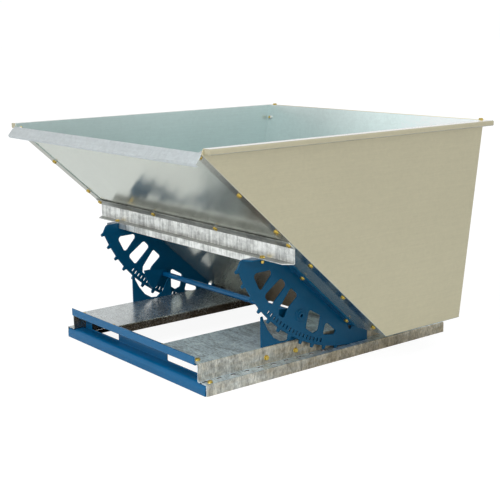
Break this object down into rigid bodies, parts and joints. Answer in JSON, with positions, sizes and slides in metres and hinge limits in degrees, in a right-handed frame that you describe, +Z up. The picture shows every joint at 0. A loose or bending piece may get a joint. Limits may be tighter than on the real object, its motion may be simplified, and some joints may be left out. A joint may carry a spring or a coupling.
{
  "type": "self-dumping hopper",
  "caption": "Galvanised folded-steel tipping bin on toothed blue rockers that roll forward along a slotted forklift base to empty over its front lip.",
  "frame": {"origin": "middle of the overall width and length, on the floor plane under the base", "axes": "+Z up, -Y towards the low pouring lip at the front, +Y towards the upright rear wall, X across the width"},
  "size_m": [1.284, 1.3044, 0.8298],
  "materials": {
    "galvanised": "hot-dip galvanised sheet",
    "blue_paint": "gloss",
    "zinc_bolt": "yellow zinc plated",
    "bright_steel": "plain zinc plated",
    "black_rubber": "matte"
  },
  "bodies": {
    "base": {"skid_right": "galvanised", "skid_left": "galvanised", "front_member": "blue_paint", "rear_member": "blue_paint", "guide_bracket_right": "blue_paint", "guide_bracket_left": "blue_paint", "front_member_bolts": "zinc_bolt", "front_member_nuts": "zinc_bolt", "rear_member_bolts": "zinc_bolt", "rear_member_nuts": "zinc_bolt", "guide_bracket_bolts": "zinc_bolt", "guide_bracket_nuts": "zinc_bolt", "latch_bracket": "blue_paint", "latch_bracket_bolts": "zinc_bolt", "latch_bracket_nuts": "zinc_bolt", "latch_pivot_pin": "bright_steel", "latch_spring": "bright_steel"},
    "roll_carrier": {"centre_plugs": "galvanised"},
    "hopper": {"rocker_right": "blue_paint", "rocker_left": "blue_paint", "hub_collars": "blue_paint", "cross_tube": "blue_paint", "side_right": "galvanised", "side_left": "galvanised", "floor_sheet": "galvanised", "rear_sheet": "galvanised", "front_lip": "galvanised", "cross_beam": "galvanised", "beam_spacers": "bright_steel", "rocker_bolts": "zinc_bolt", "rocker_nuts": "zinc_bolt", "side_floor_bolts": "zinc_bolt", "side_floor_nuts": "zinc_bolt", "beam_bolts": "zinc_bolt", "beam_nuts": "zinc_bolt", "bottom_bolts": "zinc_bolt", "bottom_nuts": "zinc_bolt", "rear_wall_bolts": "zinc_bolt", "rear_wall_nuts": "zinc_bolt", "rear_corner_bolts": "zinc_bolt", "rear_corner_nuts": "zinc_bolt", "front_lip_bolts": "zinc_bolt", "front_lip_nuts": "zinc_bolt", "latch_keeper_bolts": "zinc_bolt", "latch_keeper_nuts": "zinc_bolt", "latch_keeper": "blue_paint"},
    "latch": {"latch_lever": "blue_paint", "latch_grip": "black_rubber"}
  },
  "joints": [
    {"name": "roll_slide", "type": "slide", "parent": "base", "child": "roll_carrier", "axis": [0, -1, 0], "range_m": [0, 0.66]},
    {"name": "roll", "type": "hinge", "parent": "roll_carrier", "child": "hopper", "pos_m": [0, 0.1522, 0.5983], "axis": [1, 0, 0], "range_deg": [0, 67]},
    {"name": "latch_release", "type": "hinge", "parent": "base", "child": "latch", "pos_m": [0, 0.5702, 0.132], "axis": [-1, 0, 0], "range_deg": [0, 30], "stiffness_Nm_per_rad": 2, "springref_deg": -20.05}
  ],
  "couplings": [
    {"joint": "roll_slide", "follows": "roll", "m_per_rad": 0.558}
  ]
}
